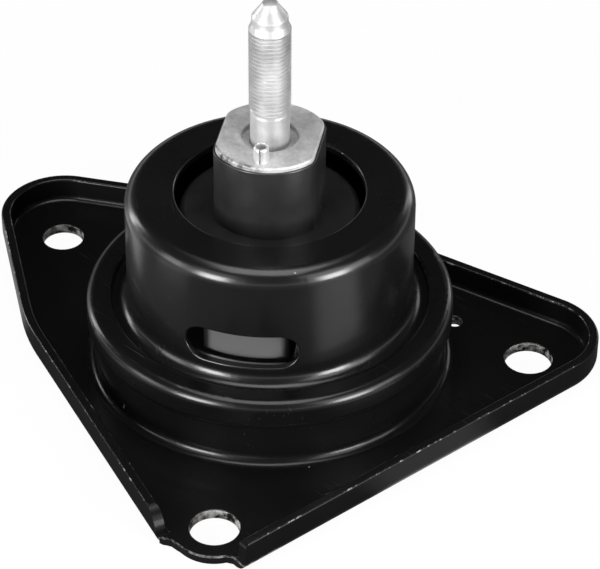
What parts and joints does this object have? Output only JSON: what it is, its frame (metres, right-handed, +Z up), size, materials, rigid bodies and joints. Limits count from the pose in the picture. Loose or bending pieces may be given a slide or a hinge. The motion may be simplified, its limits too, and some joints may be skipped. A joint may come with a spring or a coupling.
{
  "type": "engine mount",
  "caption": "Fluid-filled rubber engine mount: round steel can clamped in the rolled lip of a flat pressed bracket with corner bolt holes, and an upright threaded stud.",
  "frame": {"origin": "on the stud's axis, in the plane of the bracket's underside on which the mount is seated", "axes": "+Z up along the stud, away from the seat; -Y from the stud towards the front bolt hole, the can's window and the locating pin; +X towards the right ear with the small locating hole beside it"},
  "size_m": [0.19, 0.1589, 0.1237],
  "materials": {
    "bracket_coat": "semi-gloss black coating",
    "can_coat": "semi-gloss black coating",
    "core_metal": "as cast, faced on top",
    "stud_metal": "bright zinc",
    "pin_metal": "plain spring steel",
    "ring_metal": "plain",
    "plate_metal": "plain",
    "rivet_metal": "plain",
    "spring_rubber": "matt",
    "disc_rubber": "matt"
  },
  "bodies": {
    "root": {"base_bracket": "bracket_coat", "upper_cover": "can_coat", "inner_core": "core_metal", "mounting_stud": "stud_metal", "locating_pin": "pin_metal", "main_spring": "spring_rubber", "spring_ring": "ring_metal", "upper_plate": "plate_metal", "lower_plate": "plate_metal", "decoupler_disc": "disc_rubber", "plate_rivets": "rivet_metal", "diaphragm": "disc_rubber", "diaphragm_ring": "ring_metal", "bottom_cup": "can_coat"}
  },
  "joints": []
}
